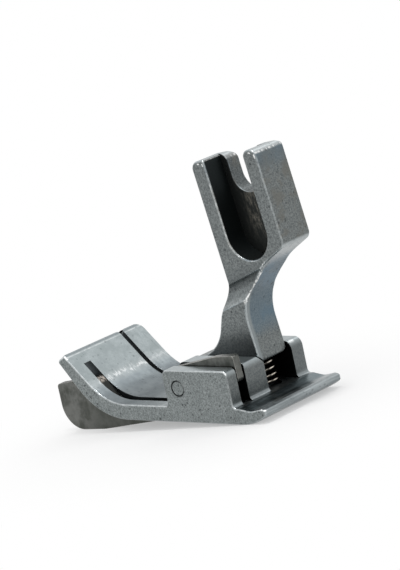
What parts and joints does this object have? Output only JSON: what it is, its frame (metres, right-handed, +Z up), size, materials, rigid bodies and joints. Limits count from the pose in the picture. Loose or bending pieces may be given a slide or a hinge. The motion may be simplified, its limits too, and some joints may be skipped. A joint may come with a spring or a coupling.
{
  "type": "sewing machine presser foot",
  "caption": "Hinged steel presser foot with a grooved clamp head, a turned-up slit toe and a sprung edge guide blade beside the needle slit.",
  "frame": {"origin": "on the sole's flat underside, at mid-width, straight below the hinge pin", "axes": "+Z up out of the sole, -Y towards the toe, +X towards the side with the edge guide"},
  "size_m": [0.0146, 0.0404, 0.0354],
  "materials": {
    "satin_steel": "satin, fine dark pitting, worn bright edges",
    "shank_steel": "satin, speckled, darker inside the bar groove",
    "pin_steel": "satin, ground flush with the sole",
    "dark_steel": "mottled dark oxide with worn lighter patches",
    "spring_wire": "bright drawn wire"
  },
  "bodies": {
    "sole": {"sole": "satin_steel", "hinge_pin": "pin_steel", "shank_spring": "spring_wire", "guide_spring": "spring_wire"},
    "shank": {"shank": "shank_steel"},
    "guide": {"guide_lever": "dark_steel"}
  },
  "joints": [
    {"name": "shank_hinge", "type": "hinge", "parent": "sole", "child": "shank", "pos_m": [0, 0, 0.0045], "axis": [-1, 0, 0], "range_deg": [0, 12], "stiffness_Nm_per_rad": 0.05, "springref_deg": -14.32, "deforming": ["shank_spring"]},
    {"name": "guide_hinge", "type": "hinge", "parent": "sole", "child": "guide", "pos_m": [0, 0, 0.0045], "axis": [-1, 0, 0], "range_deg": [0, 6.5], "stiffness_Nm_per_rad": 0.03, "springref_deg": -11.46, "deforming": ["guide_spring"]}
  ]
}
